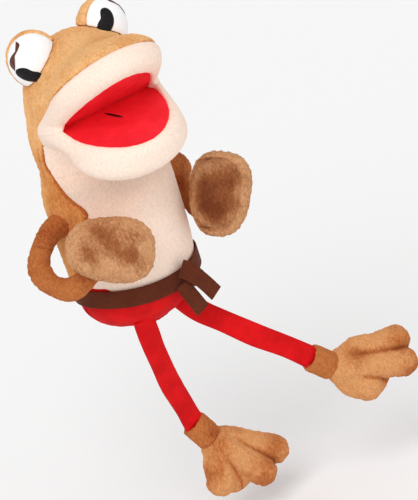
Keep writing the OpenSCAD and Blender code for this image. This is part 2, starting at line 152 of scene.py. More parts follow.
def meet(a, b, k):
    """Where two forms overlap, with the edge rounded by about k."""
    return -join(-a, -b, k)


def ball(p, centre, radii):
    """An oval ball with its own radius along each axis."""
    q = (p - centre) / radii
    k0 = np.linalg.norm(q, axis=1)
    k1 = np.linalg.norm(q / radii, axis=1) + 1e-9
    return k0 * (k0 - 1) / k1


def rod(p, a, b, ra, rb):
    """A round rod from a to b whose radius goes from ra to rb."""
    a, b = np.array(a, float), np.array(b, float)
    way = b - a
    t = np.clip((p - a) @ way / (way @ way), 0, 1)
    return np.linalg.norm(p - a - t[:, None] * way, axis=1) - (ra + (rb - ra) * t)


def rope(p, points, radii, k):
    """Rods joined end to end, with fillets of about k."""
    d = rod(p, points[0], points[1], radii[0], radii[1])
    for i in range(1, len(points) - 1):
        d = join(d, rod(p, points[i], points[i + 1], radii[i], radii[i + 1]), k)
    return d


def smooth_rows(rows, spread=7):
    """Rows of (height, sizes...) as a table with a step of 1 mm and its corners smoothed."""
    rows = np.array(rows, float)
    z = np.arange(rows[0, 0] - 40, rows[-1, 0] + 40)
    kernel = np.exp(-0.5 * (np.arange(-20, 21) / spread) ** 2)
    kernel /= kernel.sum()
    columns = []
    for c in range(1, rows.shape[1]):
        values = np.interp(z, rows[:, 0], rows[:, c])
        columns.append(np.convolve(np.pad(values, 20, mode="edge"), kernel, mode="valid"))
    return z, columns


def oval(x, y, w, d):
    """Distance outside an oval with half widths w and d."""
    k0 = np.sqrt((x / w) ** 2 + (y / d) ** 2)
    k1 = np.sqrt((x / w**2) ** 2 + (y / d**2) ** 2) + 1e-9
    return k0 * (k0 - 1) / k1


def column_form(p, table):
    """An upright form with an oval section: half width, middle, and depth in front and behind."""
    z, columns = table
    w, mid, front, back = [np.interp(p[:, 2], z, c) for c in columns]
    x, y = p[:, 0], p[:, 1] - mid
    return oval(x, y, w, np.where(y < 0, front, back))


def waves(p, size, seed, count=28):
    """Smooth noise from about -1 to 1 whose lumps are about size across."""
    random = np.random.default_rng(seed)
    ways = random.normal(size=(count, 3))
    ways /= np.linalg.norm(ways, axis=1)[:, None]
    ways *= (math.pi / size) * random.uniform(0.75, 1.35, count)[:, None]
    shift = random.uniform(0, 2 * math.pi, count)
    total = np.zeros(len(p))
    for way, s in zip(ways, shift):
        total += np.sin(p @ way + s)
    return total / math.sqrt(count)


# ---- Meshes ----
def in_slices(field, p, size=120_000):
    return np.concatenate([field(p[i:i + size]) for i in range(0, len(p), size)])


def slope(field, p, step=0.25):
    g = np.empty_like(p)
    for k in range(3):
        shift = np.zeros(3)
        shift[k] = step
        g[:, k] = (in_slices(field, p + shift) - in_slices(field, p - shift)) / (2 * step)
    return g


def add(name, data):
    thing = bpy.data.objects.new(name, data)
    bpy.context.scene.collection.objects.link(thing)
    return thing


def mesh_object(name, points, faces, material, sharp=50):
    """A piece from points in millimetres from the waist. It keeps its rest place for its material."""
    mesh = bpy.data.meshes.new(name)
    mesh.from_pydata((points + WAIST) * MM, [], [tuple(int(v) for v in face) for face in faces])
    mesh.update()
    mesh.shade_smooth()
    mesh.set_sharp_from_angle(angle=math.radians(sharp))
    rest = mesh.attributes.new("rest", "FLOAT_VECTOR", "POINT")
    rest.data.foreach_set("vector", (points * MM).astype(np.float32).ravel())
    mesh.materials.append(material)
    return add(name, mesh)


def mark(piece, name, values):
    """Keeps a number for each point, which the material reads."""
    attribute = piece.data.attributes.new(name, "FLOAT", "POINT")
    attribute.data.foreach_set("value", np.asarray(values, np.float32))


def points_of(piece):
    co = np.empty(len(piece.data.vertices) * 3)
    piece.data.vertices.foreach_get("co", co)
    return co.reshape(-1, 3) / MM - WAIST


def island_near(points, quads, place):
    """Only the connected part of a mesh that lies nearest to a place."""
    label = np.arange(len(points))
    while True:
        lowest = label[quads].min(axis=1)
        spread = label.copy()
        for k in range(quads.shape[1]):
            np.minimum.at(spread, quads[:, k], lowest)
        spread = spread[spread]
        if (spread == label).all():
            break
        label = spread
    kept = label == label[np.linalg.norm(points - place, axis=1).argmin()]
    number = np.cumsum(kept) - 1
    return points[kept], number[quads[kept[quads[:, 0]]]]


def skin(name, field, low, high, material, pitch=1.6, pile=0.35, clump=4.5, seed=1, near=None):
    """The surface of a field as a mesh on a grid of pitch, with lumps of pile's height and clump's size."""
    low, high = np.array(low, float), np.array(high, float)
    counts = np.ceil((high - low) / pitch).astype(int) + 1
    lines = [low[k] + pitch * np.arange(counts[k]) for k in range(3)]
    grid = np.stack(np.meshgrid(*lines, indexing="ij"), axis=-1).reshape(-1, 3)
    values = in_slices(field, grid).reshape(counts)
    volume = openvdb.FloatGrid(3 * pitch)
    volume.copyFromArray(np.clip(values, -3 * pitch, 3 * pitch).astype(np.float32))
    points, quads = volume.convertToQuads(0.0)
    points = low + np.asarray(points, float) * pitch
    quads = np.asarray(quads)[:, ::-1]
    if near is not None:
        points, quads = island_near(points, quads, near)
    for _ in range(2):
        f, g = in_slices(field, points), slope(field, points)
        step = -f / np.maximum((g * g).sum(1), 0.25)
        points += np.clip(step, -pitch, pitch)[:, None] * g
    g = slope(field, points)
    normal = g / np.maximum(np.linalg.norm(g, axis=1), 1e-6)[:, None]
    lumps = waves(points, clump, seed) + 0.6 * waves(points, clump * 0.5, seed + 1)
    points += (pile * lumps)[:, None] * normal
    return mesh_object(name, points, quads, material)


# ---- Materials ----
def srgb(r, g, b):
    """A colour as it looks, from 0 to 255, as the shader's numbers."""
    shares = (c / 255 for c in (r, g, b))
    return tuple(((c + 0.055) / 1.055) ** 2.4 if c > 10 / 255 else c / 12.92 for c in shares) + (1,)


class Nodes:
    def __init__(self, name):
        self.material = bpy.data.materials.new(name)
        self.material.use_nodes = True
        self.tree = self.material.node_tree
        self.shader = self.tree.nodes["Principled BSDF"]

    def new(self, kind, **settings):
        node = self.tree.nodes.new(kind)
        for key, value in settings.items():
            setattr(node, key, value)
        return node

    def link(self, a, b):
        self.tree.links.new(a, b)

    def attribute(self, name, output="Fac"):
        return self.new("ShaderNodeAttribute", attribute_name=name).outputs[output]

    def noise(self, place, scale, detail=3, rough=0.6, stretch=None):
        if stretch:
            mapping = self.new("ShaderNodeMapping")
            mapping.inputs["Scale"].default_value = stretch
            self.link(place, mapping.inputs["Vector"])
            place = mapping.outputs["Vector"]
        node = self.new("ShaderNodeTexNoise")
        node.inputs["Scale"].default_value = scale
        node.inputs["Detail"].default_value = detail
        node.inputs["Roughness"].default_value = rough
        self.link(place, node.inputs["Vector"])
        return node.outputs["Fac"]

    def remap(self, value, from_low, from_high, low=0.0, high=1.0):
        node = self.new("ShaderNodeMapRange")
        limits = {"From Min": from_low, "From Max": from_high, "To Min": low, "To Max": high}
        for key, number in limits.items():
            node.inputs[key].default_value = number
        self.link(value, node.inputs["Value"])
        return node.outputs["Result"]

    def math(self, operation, a, b):
        node = self.new("ShaderNodeMath", operation=operation)
        for socket, value in zip(node.inputs, (a, b)):
            if isinstance(value, (int, float)):
                socket.default_value = value
            else:
                self.link(value, socket)
        return node.outputs[0]

    def mix(self, share, a, b, blend="MIX"):
        node = self.new("ShaderNodeMix", data_type="RGBA", blend_type=blend)
        for socket, value in ((node.inputs[0], share), (node.inputs[6], a), (node.inputs[7], b)):
            if isinstance(value, (int, float, tuple)):
                socket.default_value = value
            else:
                self.link(value, socket)
        return node.outputs[2]

    def bump(self, height, distance, strength=1.0, normal=None):
        node = self.new("ShaderNodeBump")
        node.inputs["Strength"].default_value = strength
        node.inputs["Distance"].default_value = distance
        self.link(height, node.inputs["Height"])
        if normal:
            self.link(normal, node.inputs["Normal"])
        return node.outputs["Normal"]

    def finish(self, colour, normal, roughness, sheen=0.0, sheen_tint=(1, 1, 1, 1)):
        shader = self.shader
        if isinstance(colour, tuple):
            shader.inputs["Base Color"].default_value = colour
        else:
            self.link(colour, shader.inputs["Base Color"])
        if normal:
            self.link(normal, shader.inputs["Normal"])
        shader.inputs["Roughness"].default_value = roughness
        shader.inputs["Specular IOR Level"].default_value = 0.15
        shader.inputs["Sheen Weight"].default_value = sheen
        shader.inputs["Sheen Roughness"].default_value = 0.5
        shader.inputs["Sheen Tint"].default_value = sheen_tint
        return self.material


PILE_STRETCH = (1, 1, 0.45)


def plush(name, light, mid, dark, brush, depth=0.9, sheen=0.5, fur=0.8):
    """Short pile: light tips, darker in random patches and where a piece has painted shade marked on it,
    with fine fibres.
    """
    n = Nodes(name)
    rest = n.attribute("rest", "Vector")
    patches = n.noise(rest, 22, 2)
    clumps = n.noise(rest, 360, 3, 0.65, PILE_STRETCH)
    fibres = n.noise(rest, 620, 2, 0.7, PILE_STRETCH)
    # random patches, plus the painted shade and tone that each piece marks on its points
    tone_and_shade = n.math("ADD", n.remap(patches, 0.45, 0.68, 0, brush), n.attribute("painted_shade_and_tone"))
    tone_and_shade = n.math("ADD", tone_and_shade, n.remap(clumps, 0.30, 0.75, 0.25 * fur, -0.35 * fur))
    colour = n.mix(n.remap(tone_and_shade, 0, 0.5), light, mid)
    colour = n.mix(n.remap(tone_and_shade, 0.45, 1.15), colour, dark)
    grain = n.remap(fibres, 0.32, 0.68, 1 - 0.28 * fur, 1 + 0.16 * fur)
    shade = n.new("ShaderNodeCombineColor")
    for socket in shade.inputs[:3]:
        n.link(grain, socket)
    colour = n.mix(1.0, colour, shade.outputs[0], "MULTIPLY")
    normal = n.bump(clumps, depth * MM)
    normal = n.bump(fibres, 0.45 * depth * MM, 0.8, normal)
    return n.finish(colour, normal, 0.9, sheen, light)


def velour(name, light, dark):
    """Very short, smooth pile that shades softly where it is stroked."""
    n = Nodes(name)
    rest = n.attribute("rest", "Vector")
    patches = n.noise(rest, 35, 3)
    nap = n.noise(rest, 1500, 2)
    colour = n.mix(n.remap(patches, 0.35, 0.7), light, dark)
    return n.finish(colour, n.bump(nap, 0.15 * MM), 0.75, 0.12, light)


RIB_PERIOD = 1.9
YARN_PERIOD = 0.9


def webbing(name, light, dark):
    """Twill tape: steep diagonal ribs across the weave."""
    n = Nodes(name)
    ribs = n.math("ADD", n.attribute("along"), n.attribute("over"))
    wave = n.math("SINE", n.math("MULTIPLY", ribs, 2 * math.pi / RIB_PERIOD), 0.0)
    yarn = n.math("SINE", n.math("MULTIPLY", n.attribute("along"), 2 * math.pi / YARN_PERIOD), 0.0)
    wear = n.noise(n.attribute("rest", "Vector"), 60, 3)
    colour = n.mix(n.remap(wave, -1, 1), dark, light)
    colour = n.mix(n.remap(wear, 0.4, 0.8, 0, 0.5), colour, dark)
    normal = n.bump(wave, 0.35 * MM)
    normal = n.bump(yarn, 0.12 * MM, 0.6, normal)
    return n.finish(colour, normal, 0.65, 0.1, light)


def thread(name, light, dark):
    """Satin stitch: fine parallel threads with a soft shine."""
    n = Nodes(name)
    strands = n.noise(n.attribute("rest", "Vector"), 500, 2, 0.5, (1, 1, 6))
    colour = n.mix(n.remap(strands, 0.35, 0.65), dark, light)
    return n.finish(colour, n.bump(strands, 0.3 * MM), 0.45)


def woven(name, light, dark):
    """Plain weave for the lining and the pockets, on its own coordinates."""
    n = Nodes(name)
    place = n.new("ShaderNodeTexCoord").outputs["Object"]
    weave = n.new("ShaderNodeTexChecker")
    weave.inputs["Scale"].default_value = 1500
    n.link(place, weave.inputs["Vector"])
    slub = n.noise(place, 300, 3)
    colour = n.mix(n.remap(slub, 0.3, 0.8), light, dark)
    return n.finish(colour, n.bump(weave.outputs["Fac"], 0.15 * MM), 0.85, 0.1, light)


def fibre_fill(name):
    n = Nodes(name)
    wisps = n.noise(n.new("ShaderNodeTexCoord").outputs["Object"], 180, 5, 0.7)
    colour = n.mix(n.remap(wisps, 0.3, 0.7), srgb(205, 203, 198), srgb(244, 243, 240))
    return n.finish(colour, n.bump(wisps, 2 * MM), 0.95, 0.4)


def board(name):
    n = Nodes(name)
    grain = n.noise(n.new("ShaderNodeTexCoord").outputs["Object"], 700, 3)
    colour = n.mix(n.remap(grain, 0.3, 0.7), srgb(214, 211, 202), srgb(232, 230, 223))
    return n.finish(colour, n.bump(grain, 0.1 * MM), 0.6)


TAN = plush("tan_plush", srgb(246, 190, 130), srgb(222, 150, 84), srgb(180, 94, 42), 0.38)
HAND_PLUSH = plush("hand_plush", srgb(206, 152, 108), srgb(160, 98, 58), srgb(118, 58, 30), 0.3, 1.2, 0.25)
ARM = plush("arm_plush", srgb(188, 112, 60), srgb(160, 82, 38), srgb(118, 52, 20), 0.45, fur=0.85)
FOOT_PLUSH = plush("foot_plush", srgb(216, 152, 98), srgb(190, 114, 62), srgb(136, 64, 26), 0.45, 1.0)
CREAM = plush(
    "cream_plush", srgb(255, 232, 215), srgb(250, 220, 200), srgb(212, 190, 174), 0.12, 0.5, 0.3, 0.35
)
WHITE = plush(
    "white_plush", srgb(252, 252, 254), srgb(247, 247, 251), srgb(232, 232, 240), 0.1, 0.2, 0.2, 0.15
)
RED = velour("red_velour", srgb(220, 12, 18), srgb(192, 4, 10))
MOUTH_RED = velour("mouth_felt", srgb(250, 44, 58), srgb(232, 28, 40))
WEBBING = webbing("belt_webbing", srgb(136, 68, 40), srgb(84, 30, 12))
BLACK = thread("black_thread", srgb(34, 32, 36), srgb(8, 7, 10))
BROWN = thread("brown_thread", srgb(120, 72, 60), srgb(74, 38, 30))
COTTON = woven("cotton_lining", srgb(236, 226, 206), srgb(206, 192, 168))
FILL = fibre_fill("fibre_fill")
BOARD = board("mouth_board")

# ---- Forms of the body and the head ----
HINGE = JOINT["mouth"]
PALATE_T = math.radians(38)
JAW_T = math.radians(11)
palate_forward = np.array([0, -math.cos(PALATE_T), math.sin(PALATE_T)])
palate_up = np.array([0, math.sin(PALATE_T), math.cos(PALATE_T)])
jaw_forward = np.array([0, -math.cos(JAW_T), -math.sin(JAW_T)])
jaw_down = np.array([0, math.sin(JAW_T), -math.cos(JAW_T)])
palate_turn = np.array([[1, 0, 0], palate_forward, palate_up])
jaw_turn = np.array([[1, 0, 0], jaw_forward, jaw_down])
COLLAR_Z = 165
BODY_TOP = 285
THROAT_TOP = 230
CHEEK_BOTTOM = 196
CORNER_GAP = 0.3

# height, half width, middle, depth in front, depth behind
body_table = smooth_rows([
    (-30, 69, 0, 54, 54), (8, 70, 0, 54, 54), (40, 74, 0, 56, 56), (75, 75, 0, 57, 57), (110, 76, 0, 56, 56),
    (132, 76, 0, 53, 53), (150, 73, 0, 49, 49), (165, 68, 0, 45, 45), (188, 70, 0, 46, 47),
    (212, 70, -2, 48, 47), (240, 63, -4, 46, 43), (270, 52, -8, 42, 36), (300, 36, -14, 32, 30),
])


def in_palate(p):
    """Places across, along and above the palate, from the fold of the mouth."""
    return (p - HINGE) @ palate_turn.T


def in_jaw(p):
    return (p - HINGE) @ jaw_turn.T


def roll(q, half_w, depth, level, radius):
    """A stuffed roll along an oval: q is across, along and above."""
    out = oval(q[:, 0], q[:, 1], half_w, depth)
    return np.sqrt(out**2 + (q[:, 2] - level) ** 2) - radius


def dome(p):
    return ball(p, (0, -34, 247), (69, 76, 72))


def snout(p):
    return ball(in_palate(p), (0, 55, 19), (66, 52, 33))


def skull_form(p):
    return join(dome(p), snout(p), 24)


def body_form(p):
    return meet(column_form(p, body_table), p[:, 2] - BODY_TOP, 12)


def head_form(p):
    return join(skull_form(p), body_form(p), 14)


# Where the tan cloth meets the cream, as depth at each height. Above the collar both sides are the same.
SEAM_ABOVE = [
    (166, -15), (183, -11), (210, -20), (238, -40), (262, -68), (286, -99), (319, -140), (345, -172),
]
SEAM_BELOW = {
    "right": [(-30, -8), (60, -12), (80, -20), (100, -34), (118, -42), (130, -37), (142, -29)],
    "left": [(-30, -16), (142, -16)],
}
seam_tables = {side: smooth_rows(SEAM_BELOW[side] + SEAM_ABOVE, 5) for side in SIDES}


def behind_seam(p):
    """How far a point is behind the seam between cream and tan."""
    right, left = (np.interp(p[:, 2], z, depth) for z, (depth,) in (seam_tables[side] for side in SIDES))
    share = np.clip(p[:, 0] / 30 + 0.5, 0, 1)
    at = (1 - share) * right + share * left
    lean = 1 + 0.6 * np.clip((p[:, 2] - 240) / 60, 0, 1)
    return (p[:, 1] - at) / lean


SEAM_GAP = 0.5
SEAM_ROUND = 4.5
CLOTH = 4.5
# width and depth of the furrow at a seam, and at the seam between cream and tan
FURROW = (1.3, 1.2)
EDGE_FURROW = (1.2, 1.5)


def shell(form, cuts=(), round_by=SEAM_ROUND, thick=CLOTH):
    """A layer of cloth under a form's surface, rounded where it is cut."""
    d = form
    for cut in cuts:
        d = meet(d, cut, round_by)
    return np.maximum(d, -(form + thick))


def flush(d, *cuts):
    """Cuts cloth off square, where it goes on as the next piece."""
    for cut in cuts:
        d = np.maximum(d, cut - 0.2)
    return d


def waist_line(p):
    """Height of the trousers' upper edge, behind the belt; it shows above the belt on the right."""
    x = p[:, 0]
    return BELT_ABOVE_WAIST + 8 * (x / 67) ** 2 - 4 * x / 67 - 3 + 15 * np.clip((-x - 38) / 16, 0, 1)


def groove(distance, width, depth):
    return depth * np.exp(-((distance / width) ** 2))


def crown_split(p):
    """Zero on the seam that runs behind the eyes and down the sides of the head."""
    return p[:, 1] + 8 + 0.22 * (p[:, 2] - 200)


def sewn_form(p):
    """The head and body with the furrows that their seams pull in."""
    crown = np.where(p[:, 2] > COLLAR_Z, groove(crown_split(p), *FURROW), 0)
    middle_back = np.where(crown_split(p) > 0, groove(p[:, 0], *FURROW), 0)
    return head_form(p) + groove(behind_seam(p), *EDGE_FURROW) + crown + middle_back


def belly_field(p):
    return flush(shell(sewn_form(p)), behind_seam(p), p[:, 2] - COLLAR_Z, waist_line(p) - p[:, 2])


def back_field(side):
    def field(p):
        z = p[:, 2]
        return flush(
            shell(sewn_form(p)), -behind_seam(p), -WAY[side] * p[:, 0], z - COLLAR_Z, waist_line(p) - z
        )
    return field


def throat_field(p):
    # it goes on up behind the chin, so that the neck stays closed when the mouth shuts
    behind_chin = np.clip((p[:, 2] - 186) / 20, 0, 1)
    form = sewn_form(p) * (1 - behind_chin) + body_form(p) * behind_chin
    return flush(shell(form), behind_seam(p), COLLAR_Z - p[:, 2], p[:, 2] - THROAT_TOP)


def head_front_field(p):
    return flush(shell(sewn_form(p)), -behind_seam(p), crown_split(p), COLLAR_Z - p[:, 2])


def head_back_field(side):
    def field(p):
        return flush(shell(sewn_form(p)), -crown_split(p), -WAY[side] * p[:, 0], COLLAR_Z - p[:, 2])
    return field


def corner_split(p):
    """Above zero on the jaw's side of the plane behind the mouth's corners."""
    lift = (PALATE_T - JAW_T) / 2
    return -(p - HINGE) @ np.array([0, math.sin(lift), math.cos(lift)])


def hollow(q, half_w, depth, level):
    """Below zero in the oval space in front of the fold that the red cloth lines."""
    k0 = np.sqrt((q[:, 0] / half_w) ** 2 + (q[:, 1] / depth) ** 2)
    return np.maximum(np.maximum((k0 - 1) * half_w, q[:, 2] - level), -6 - q[:, 1])


def lip_form(p):
    q = in_palate(p)
    cream = meet(meet(skull_form(p), behind_seam(p) + SEAM_GAP, SEAM_ROUND), -q[:, 2], 8)
    tuck = 10 + 6 * np.clip(q[:, 1] / 80, 0, 1)
    rolled = roll(q, 59, 93, 12, tuck)
    rolled = meet(rolled, behind_seam(p) + SEAM_GAP, SEAM_ROUND)
    return meet(join(cream, rolled, 12), -hollow(q, 56, 87, 14), 4)


def chin_form(p):
    q = in_jaw(p)
    pillow = ball(q, (0, 42, 24), (66, 60, 30))
    pillow = meet(pillow, -q[:, 2], 8)
    tuck = 7.5 + 2 * np.clip(q[:, 1] / 80, 0, 1)
    rolled = roll(q, 60, 93, 8.5, tuck)
    cheek = meet(meet(head_form(p), CHEEK_BOTTOM - p[:, 2], 16), -q[:, 2], 8)
    whole = join(join(pillow, rolled, 14), cheek, 26)
    whole = meet(whole, behind_seam(p) + SEAM_GAP, SEAM_ROUND)
    return meet(whole, -hollow(q, 60, 94, 12), 4)


def muzzle_form(p):
    """Lip and chin as one, so that they run on into each other at the mouth's corners."""
    return join(lip_form(p), chin_form(p), 7)


def lip_field(p):
    return np.maximum(muzzle_form(p), corner_split(p) - CORNER_GAP)


def chin_field(p):
    return np.maximum(muzzle_form(p), -CORNER_GAP - corner_split(p))


def tear_free(piece, a, b, start, end):
    """Cloth that follows two bodies, and passes from one to the other between two places."""
    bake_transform(piece, a, b, tuple((np.array(start) + WAIST) * MM), tuple((np.array(end) + WAIST) * MM))


def stand_in(piece, slot, *nodes, fill=None):
    """Shows a piece in place of the frame's parts; fill is not used."""
    if nodes:
        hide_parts(*nodes)


TWIST = ((0, 0, 112), (0, 0, 162))
NOD = ((0, 0, 168), (0, 0, 214))
BITE = ((0, -50, 233), (0, -102, 225))


def darken_low(piece):
    """Tan cloth darker towards the bottom, with painted shade along the seam between cream and tan."""
    p = points_of(piece)
    darker_below = 0.42 * (1 - np.clip((p[:, 2] - 150) / 65, 0, 1))
    mark(piece, "painted_shade_and_tone", darker_below + groove(behind_seam(p), 1.5, 0.9))


def darken_throat(piece):
    """Cream nap in the shade of the chin."""
    mark(piece, "painted_shade_and_tone", groove(points_of(piece)[:, 2] - 142, 30, 0.8))


def half_box(side, front, back, bottom, top, half_w=84):
    """The corners of one side's half of a box, with 8 mm past the middle."""
    low, high = (-half_w, 8) if side == "right" else (-8, half_w)
    return (low, front, bottom), (high, back, top)


def make_body():
    belly = skin("belly_cloth", belly_field, (-84, -66, -24), (84, 10, 172), CREAM, pile=0.1, seed=11)
    tear_free(belly, "torso", "neck", *TWIST)
    darken_throat(belly)
    stand_in(belly, "cream_plush", "body_front_panel")
    for side in SIDES:
        low, high = half_box(side, -58, 66, -24, 172)
        back = skin(f"back_cloth_{side}", back_field(side), low, high, TAN, seed=12)
        tear_free(back, "torso", "neck", *TWIST)
        darken_low(back)
        stand_in(back, "tan_plush", f"body_back_{side}")
    throat = skin("throat_cloth", throat_field, (-84, -66, 156), (84, 10, 236), CREAM, pile=0.2, seed=13)
    tear_free(throat, "neck", "skull", *NOD)
    darken_throat(throat)
    stand_in(throat, "cream_plush", "neck_front_panel")


def make_head():
    front = skin("head_front_cloth", head_front_field, (-90, -150, 158), (90, 20, 350), TAN, seed=21)
    tear_free(front, "neck", "skull", *NOD)
    darken_low(front)
    stand_in(front, "tan_plush", "head_top_panel")
    for side in SIDES:
        low, high = half_box(side, -70, 66, 158, 350, 90)
        back = skin(f"head_back_{side}", head_back_field(side), low, high, TAN, seed=22)
        tear_free(back, "neck", "skull", *NOD)
        darken_low(back)
        nodes = ["head_side_right"] if side == "right" else ["head_side_left", "neck_back_panel"]
        stand_in(back, "tan_plush", *nodes)
    lip = skin("upper_lip_roll", lip_field, (-94, -165, 222), (94, -10, 345), CREAM, pile=0.12, seed=23)
    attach(lip, "skull")
    stand_in(lip, "cream_plush", "upper_lip", fill=0.7)
    chin = skin("chin_cloth", chin_field, (-94, -176, 150), (94, -10, 262), CREAM, pile=0.12, seed=24)
    tear_free(chin, "skull", "jaw", *BITE)
    stand_in(chin, "cream_plush", "chin_panel", fill=0.6)


LINING_RISE = 2.0
LINING_T = 1.5


def lining(name, turn, half_w, depth):
    """The oval red cloth of the mouth, from the fold to the lip, in front of its board."""
    across, along = 60, 46
    points, faces = [], []
    for layer in (0, 1):
        for i in range(along + 1):
            u = i / along
            for j in range(across + 1):
                v = 2 * j / across - 1
                width = half_w * math.sqrt(max(0.0, 1 - (0.985 * u) ** 2))
                ripple = 0.25 * math.sin(5 * u + 3 * v) * math.sin(4 * v)
                points.append((v * width, depth * u - 1.3, LINING_RISE + ripple - LINING_T * layer))
    n = across + 1
    size = n * (along + 1)
    for i in range(along):
        for j in range(across):
            a = i * n + j
            faces.append((a, a + 1, a + n + 1, a + n))
            faces.append((size + a, size + a + n, size + a + n + 1, size + a + 1))
    rim = list(range(n)) + [i * n + across for i in range(1, along + 1)]
    rim += [along * n + j for j in range(across - 1, -1, -1)] + [i * n for i in range(along - 1, 0, -1)]
    for a, b in zip(rim, rim[1:] + rim[:1]):
        faces.append((b, a, size + a, size + b))
    points = np.array(points) @ turn + HINGE
    return mesh_object(name, points, faces, MOUTH_RED)


def make_mouth():
    palate = lining("palate_cloth", palate_turn, 60, 93)
    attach(palate, "skull")
    stand_in(palate, "mouth_cloth", "upper_mouth_lining")
    floor = lining("mouth_floor_cloth", jaw_turn, 62, 98)
    tear_free(floor, "skull", "jaw", *BITE)
    stand_in(floor, "mouth_cloth", "lower_mouth_lining")


# ---- Eyes ----
EYE_R = np.array([29, 32, 26])
EYE_TURN = math.radians(24)
SEAM_OF_EYE = 2.0  # how far in front of the eye's middle its white begins


def eye_frame(side):
    """Rows: across, up and facing. The eyes face a little outwards and lean apart."""
    facing = unit((WAY[side] * math.sin(EYE_TURN), -math.cos(EYE_TURN), 0.12))
    lean = np.array([WAY[side] * 0.22, 0, 1])
    up = unit(lean - facing * (facing @ lean))
    return np.array([np.cross(up, facing), up, facing])


def eye_centre(side):
    return np.array([WAY[side] * 44, -21, 303])


def eye_field(side, front):
    turn, centre = eye_frame(side), eye_centre(side)

    def field(p):
        q = (p - centre) @ turn.T
        if front:
            d = meet(ball(q, (0, 0, 0), EYE_R), SEAM_OF_EYE + SEAM_GAP - q[:, 2], 3)
        else:
            d = meet(ball(q, (0, 0, 0), EYE_R + 1.6), q[:, 2] - SEAM_OF_EYE, 5)
        return meet(d, 1.0 - head_form(p), 2)
    return field


def on_eye(side, place, lift):
    """A point on the white, at a place across and up it."""
    turn, centre = eye_frame(side), eye_centre(side)
    x, y = place
    depth = EYE_R[2] * math.sqrt(max(0.02, 1 - (x / EYE_R[0]) ** 2 - (y / EYE_R[1]) ** 2))
    return centre + np.array([x, y, depth + lift]) @ turn


def patch(name, side, outline, material, thick=1.3, rows=7):
    """A low cushion of stitches over an outline on the eye."""
    middle_place = np.mean(outline, axis=0)
    points, faces, n = [], [], len(outline)
    for k in range(rows):
        share = 1 - k / rows
        lift = 0.2 + thick * math.sqrt(1 - share**4)
        for place in outline:
            points.append(on_eye(side, middle_place + (np.array(place) - middle_place) * share, lift))
    points.append(on_eye(side, middle_place, 0.2 + thick))
    base = len(points)
    for place in outline:
        points.append(on_eye(side, place, -0.6))
    points.append(on_eye(side, middle_place, -0.6))
    for j in range(n):
        k = (j + 1) % n
        for i in range(rows - 1):
            faces.append((i * n + j, i * n + k, (i + 1) * n + k, (i + 1) * n + j))
        faces.append(((rows - 1) * n + j, (rows - 1) * n + k, base - 1))
        faces.append((base + k, base + j, base + n))
        faces.append((j, base + j, base + k, k))
    return mesh_object(name, np.array(points), faces, material, 180)


def bean(centre, half_w, half_h, tilt, steps=36):
    """A bean outline with a dent in its upper edge."""
    c, s = math.cos(tilt), math.sin(tilt)
    places = []
    for i in range(steps):
        t = 2 * math.pi * i / steps
        r = 1 - 0.30 * math.exp(-(((t - math.pi / 2 + 0.2) / 0.42) ** 2))
        x, y = half_w * r * math.cos(t), half_h * r * math.sin(t)
        places.append((centre[0] + c * x - s * y, centre[1] + s * x + c * y))
    return places


def ribbon_outline(line, widths):
    """Outline of a line of stitches along points, with a width at each."""
    line = np.array(line, float)
    way = np.gradient(line, axis=0)
    way /= np.linalg.norm(way, axis=1)[:, None]
    side_way = np.stack([-way[:, 1], way[:, 0]], axis=1) * np.array(widths)[:, None] / 2
    return [tuple(v) for v in np.concatenate([line + side_way, (line - side_way)[::-1]])]


PUPIL_PLACE = {"right": (-11, -7), "left": (-14, 8)}
PUPIL_TILT = {"right": -0.7, "left": 1.1}


BROW = [(7, 29.5, 0), (5, 26, 0), (11, 22, 0), (20, 17, 0), (24.5, 10, 0), (23, 3, 0)]


def make_eyes():
    for side in SIDES:
        low, high = eye_centre(side) - 40, eye_centre(side) + 40
        socket = skin(f"eye_back_{side}", eye_field(side, False), low, high, TAN, 1.5, 0.25, seed=31)
        white = skin(f"eye_ball_{side}", eye_field(side, True), low, high, WHITE, 1.5, 0.05, seed=32)
        pupil = patch(f"pupil_patch_{side}", side, bean(PUPIL_PLACE[side], 15, 8, PUPIL_TILT[side]), BLACK)
        curve = curve_through(BROW, 5)[:, :2] * np.array([WAY[side], 1])
        widths = 0.55 + 0.65 * np.sin(np.linspace(0.1, 3.0, len(curve)))
        brow = patch(f"brow_line_{side}", side, ribbon_outline(curve, widths), BROWN, 0.8, 3)
        for piece, node, slot, fill in (
            (socket, "eye_socket", "tan_plush", 0.9),
            (white, "eye_white", "white_plush", 0.9),
            (pupil, "pupil", "embroidery", None),
            (brow, "brow_stitch", "embroidery", None),
        ):
            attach(piece, "skull")
            stand_in(piece, slot, f"{node}_{side}", fill=fill)


# ---- Arms and hands ----
ARM_LINE = {
    "right": [
        (-60, -12, 112), (-85, -12, 108), (-108, -18, 92), (-116, -24, 75), (-113, -38, 62), (-102, -54, 55),
        (-90, -66, 61), (-76, -80, 76),
    ],
    "left": [
        (64, 2, 112), (86, 8, 108), (98, 24, 92), (96, 38, 74), (95, 20, 61), (91, -10, 56), (90, -36, 62),
        (94, -52, 72),
    ],
}
ARM_R = 12.3
# The last number for each hand is how much painted shade darkens the middle of its front face.
HAND = {
    "right": dict(along=(0.87, -0.29, -0.40), face=(-0.30, -0.85, 0.45), size=(50, 36, 18), tone_and_shade=0.3),
    "left": dict(along=(0.45, 0.10, 0.88), face=(-0.55, -0.80, 0.22), size=(47, 34, 19), tone_and_shade=0.6),
}


